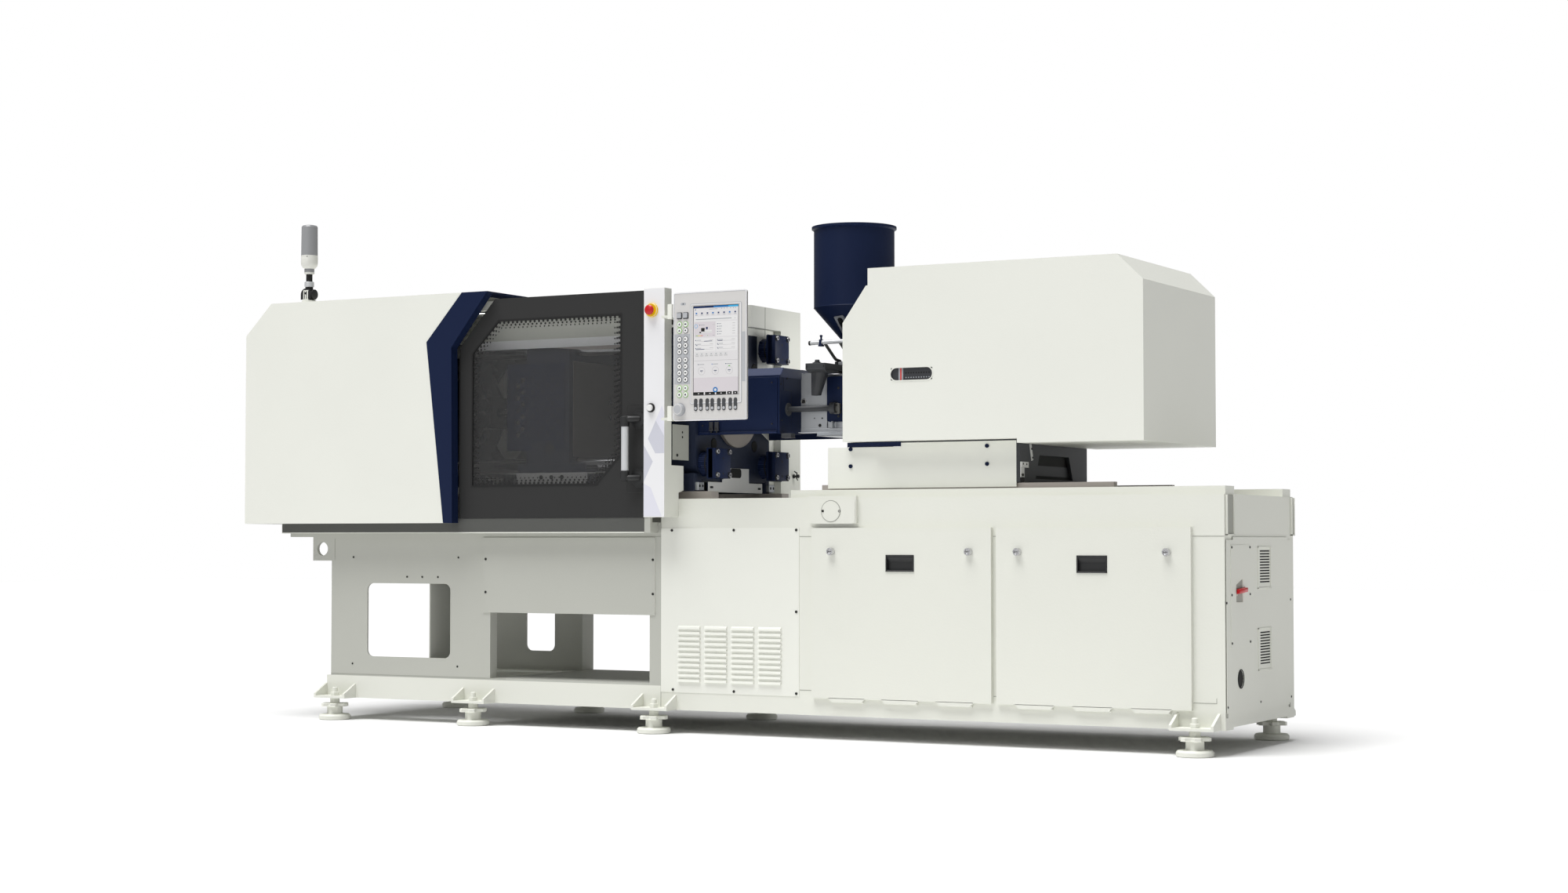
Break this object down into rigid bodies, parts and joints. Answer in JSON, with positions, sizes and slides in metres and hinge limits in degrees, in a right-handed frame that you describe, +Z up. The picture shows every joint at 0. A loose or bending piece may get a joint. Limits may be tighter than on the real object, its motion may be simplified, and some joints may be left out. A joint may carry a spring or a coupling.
{
  "type": "injection moulding machine",
  "caption": "All-electric horizontal injection moulding machine with toggle clamp, sliding safety gates, hopper, operator panel and covered injection unit.",
  "frame": {"origin": "on the floor under the middle of the machine, on the vertical plane through the screw's axis", "axes": "+X from the clamp to the injection end, +Y away from the operator, +Z up"},
  "size_m": [4.555, 1.116, 2.194],
  "materials": {
    "cover_paint": "satin",
    "base_paint": "satin",
    "navy_paint": "satin",
    "gate_paint": "satin",
    "column_paint": "satin",
    "navy_casting": "matte",
    "bar_steel": "polished",
    "feed_steel": "satin",
    "dark_grey": "satin",
    "way_steel": "ground",
    "link_steel": "machined",
    "drive_black": "matte",
    "carriage_grey": "satin",
    "sheet_steel": "satin",
    "barrel_steel": "satin",
    "panel_plastic": "matte",
    "screen_glass": "glossy",
    "dial_black": "matte",
    "red_plastic": "glossy",
    "white_plastic": "glossy",
    "window_clear": "clear",
    "handle_silver": "satin",
    "foot_steel": "zinc plated",
    "knob_steel": "polished",
    "lamp_grey": "matte"
  },
  "bodies": {
    "frame": {"base_rails": "base_paint", "clamp_frame": "base_paint", "injection_cabinet": "base_paint", "service_panels": "cover_paint", "main_switch_panel": "cover_paint", "levelling_feet": "base_paint", "clamp_cover": "cover_paint", "cover_trim": "navy_paint", "control_column": "column_paint", "rear_column": "column_paint", "fixed_platen": "navy_casting", "tail_platen": "navy_casting", "tie_bars": "bar_steel", "tie_bar_nuts": "navy_paint", "guide_ways": "way_steel", "clamp_drive": "drive_black", "nozzle_guard": "navy_paint"},
    "front_gate": {"safety_gate": "gate_paint", "gate_window": "window_clear", "gate_handle": "handle_silver"},
    "back_gate": {"rear_gate": "gate_paint"},
    "moving_half": {"moving_platen": "navy_casting", "ejector_guards": "navy_paint"},
    "ejector": {"ejector_plate": "link_steel"},
    "upper_rear_link": {"upper_rear_links": "link_steel"},
    "lower_rear_link": {"lower_rear_links": "link_steel"},
    "upper_front_link": {"upper_front_links": "link_steel"},
    "lower_front_link": {"lower_front_links": "link_steel"},
    "upper_drive_link": {"upper_drive_links": "link_steel"},
    "lower_drive_link": {"lower_drive_links": "link_steel"},
    "toggle_crosshead": {"crosshead": "link_steel"},
    "clamp_screw": {"clamp_ball_screw": "bar_steel"},
    "carriage": {"carriage_frame": "carriage_grey", "carriage_cover": "cover_paint", "barrel": "barrel_steel", "barrel_shroud": "sheet_steel", "feed_block": "feed_steel", "pull_in_rods": "dark_grey", "injection_cover": "cover_paint", "injection_frame": "drive_black", "hopper_base": "dark_grey"},
    "push_plate": {"injection_plate": "carriage_grey"},
    "melt_screw": {"plasticising_screw": "bar_steel"},
    "drive_screw": {"injection_ball_screw": "bar_steel"},
    "hopper_unit": {"hopper_slide": "dark_grey", "hopper": "navy_paint"},
    "panel": {"operator_panel": "panel_plastic", "panel_screen": "screen_glass"},
    "dial": {"panel_dial": "dial_black"},
    "stop_button": {"e_stop_button": "red_plastic"},
    "start_push": {"start_button": "white_plastic"},
    "door_left": {"cabinet_door_left": "base_paint"},
    "door_right": {"cabinet_door_right": "base_paint"},
    "knob_ll": {"door_knob_left_left": "knob_steel"},
    "knob_lr": {"door_knob_left_right": "knob_steel"},
    "knob_rl": {"door_knob_right_left": "knob_steel"},
    "knob_rr": {"door_knob_right_right": "knob_steel"},
    "switch_lever": {"main_switch_lever": "red_plastic"},
    "flap": {"guard_door": "navy_paint"},
    "lamp": {"signal_lamp": "lamp_grey"}
  },
  "joints": [
    {"name": "gate_slide", "type": "slide", "parent": "frame", "child": "front_gate", "axis": [-1, 0, 0], "range_m": [0, 0.79]},
    {"name": "rear_gate_slide", "type": "slide", "parent": "frame", "child": "back_gate", "axis": [-1, 0, 0], "range_m": [0, 0.79]},
    {"name": "platen_slide", "type": "slide", "parent": "frame", "child": "moving_half", "axis": [1, 0, 0], "range_m": [0, 0.3]},
    {"name": "ejector_slide", "type": "slide", "parent": "moving_half", "child": "ejector", "axis": [1, 0, 0], "range_m": [0, 0.08]},
    {"name": "upper_rear_link_turn", "type": "hinge", "parent": "frame", "child": "upper_rear_link", "pos_m": [-1.453, 0, 1.453], "axis": [0, 1, 0], "range_deg": [0, 51.32]},
    {"name": "lower_rear_link_turn", "type": "hinge", "parent": "frame", "child": "lower_rear_link", "pos_m": [-1.453, 0, 1.263], "axis": [0, -1, 0], "range_deg": [0, 51.32]},
    {"name": "upper_front_link_turn", "type": "hinge", "parent": "moving_half", "child": "upper_front_link", "pos_m": [-0.953, 0, 1.453], "axis": [0, -1, 0], "range_deg": [0, 51.32]},
    {"name": "lower_front_link_turn", "type": "hinge", "parent": "moving_half", "child": "lower_front_link", "pos_m": [-0.953, 0, 1.263], "axis": [0, 1, 0], "range_deg": [0, 51.32]},
    {"name": "crosshead_slide", "type": "slide", "parent": "frame", "child": "toggle_crosshead", "axis": [1, 0, 0], "range_m": [0, 0.14138]},
    {"name": "upper_drive_link_turn", "type": "hinge", "parent": "toggle_crosshead", "child": "upper_drive_link", "pos_m": [-1.29675, 0, 1.393], "axis": [0, -1, 0], "range_deg": [0, 45.39]},
    {"name": "lower_drive_link_turn", "type": "hinge", "parent": "toggle_crosshead", "child": "lower_drive_link", "pos_m": [-1.29675, 0, 1.323], "axis": [0, 1, 0], "range_deg": [0, 45.39]},
    {"name": "clamp_screw_turn", "type": "hinge", "parent": "frame", "child": "clamp_screw", "pos_m": [-1.5, 0, 1.358], "axis": [1, 0, 0], "continuous": true},
    {"name": "carriage_slide", "type": "slide", "parent": "frame", "child": "carriage", "axis": [1, 0, 0], "range_m": [0, 0.22]},
    {"name": "injection_slide", "type": "slide", "parent": "carriage", "child": "push_plate", "axis": [-1, 0, 0], "range_m": [0, 0.14]},
    {"name": "melt_screw_turn", "type": "hinge", "parent": "push_plate", "child": "melt_screw", "pos_m": [0.7, 0, 1.358], "axis": [1, 0, 0], "continuous": true},
    {"name": "injection_screw_turn", "type": "hinge", "parent": "carriage", "child": "drive_screw", "pos_m": [1.5, 0, 1.358], "axis": [1, 0, 0], "continuous": true},
    {"name": "hopper_slide_out", "type": "slide", "parent": "carriage", "child": "hopper_unit", "axis": [0, -1, 0], "range_m": [0, 0.285]},
    {"name": "panel_swivel", "type": "hinge", "parent": "frame", "child": "panel", "pos_m": [-0.014, -0.54, 1.5], "axis": [0, 0, -1], "range_deg": [0, 95]},
    {"name": "dial_turn", "type": "hinge", "parent": "panel", "child": "dial", "pos_m": [0.031, -0.57, 1.315], "axis": [0, -1, 0], "continuous": true},
    {"name": "stop_press", "type": "slide", "parent": "frame", "child": "stop_button", "axis": [0, 1, 0], "range_m": [0, 0.006]},
    {"name": "start_press", "type": "slide", "parent": "frame", "child": "start_push", "axis": [0, 1, 0], "range_m": [0, 0.003], "stiffness_N_per_m": 800},
    {"name": "left_door_tilt", "type": "hinge", "parent": "frame", "child": "door_left", "pos_m": [0.952, -0.4153, 0.151], "axis": [1, 0, 0], "range_deg": [0, 25]},
    {"name": "right_door_tilt", "type": "hinge", "parent": "frame", "child": "door_right", "pos_m": [1.751, -0.4153, 0.151], "axis": [1, 0, 0], "range_deg": [0, 25]},
    {"name": "knob_ll_turn", "type": "hinge", "parent": "door_left", "child": "knob_ll", "pos_m": [0.654, -0.44, 0.744], "axis": [0, -1, 0], "range_deg": [0, 90]},
    {"name": "knob_lr_turn", "type": "hinge", "parent": "door_left", "child": "knob_lr", "pos_m": [1.25, -0.44, 0.744], "axis": [0, -1, 0], "range_deg": [0, 90]},
    {"name": "knob_rl_turn", "type": "hinge", "parent": "door_right", "child": "knob_rl", "pos_m": [1.453, -0.44, 0.744], "axis": [0, -1, 0], "range_deg": [0, 90]},
    {"name": "knob_rr_turn", "type": "hinge", "parent": "door_right", "child": "knob_rr", "pos_m": [2.049, -0.44, 0.744], "axis": [0, -1, 0], "range_deg": [0, 90]},
    {"name": "main_switch_turn", "type": "hinge", "parent": "frame", "child": "switch_lever", "pos_m": [2.275, -0.248, 0.601], "axis": [1, 0, 0], "range_deg": [0, 90]},
    {"name": "guard_flap_turn", "type": "hinge", "parent": "frame", "child": "flap", "pos_m": [0.155, -0.3053, 1.229], "axis": [1, 0, 0], "range_deg": [0, 60]},
    {"name": "lamp_fold", "type": "hinge", "parent": "frame", "child": "lamp", "pos_m": [-1.949, -0.48, 1.886], "axis": [0, 1, 0], "range_deg": [0, 90]}
  ],
  "couplings": [
    {"joint": "upper_rear_link_turn", "follows": "platen_slide", "rad_per_m": 2.9855},
    {"joint": "lower_rear_link_turn", "follows": "platen_slide", "rad_per_m": 2.9855},
    {"joint": "upper_front_link_turn", "follows": "platen_slide", "rad_per_m": 2.9855},
    {"joint": "lower_front_link_turn", "follows": "platen_slide", "rad_per_m": 2.9855},
    {"joint": "crosshead_slide", "follows": "platen_slide", "ratio": 0.47128},
    {"joint": "upper_drive_link_turn", "follows": "platen_slide", "rad_per_m": 2.6409},
    {"joint": "lower_drive_link_turn", "follows": "platen_slide", "rad_per_m": 2.6409},
    {"joint": "clamp_screw_turn", "follows": "platen_slide", "rad_per_m": 74.028},
    {"joint": "injection_screw_turn", "follows": "injection_slide", "rad_per_m": 314.16}
  ]
}
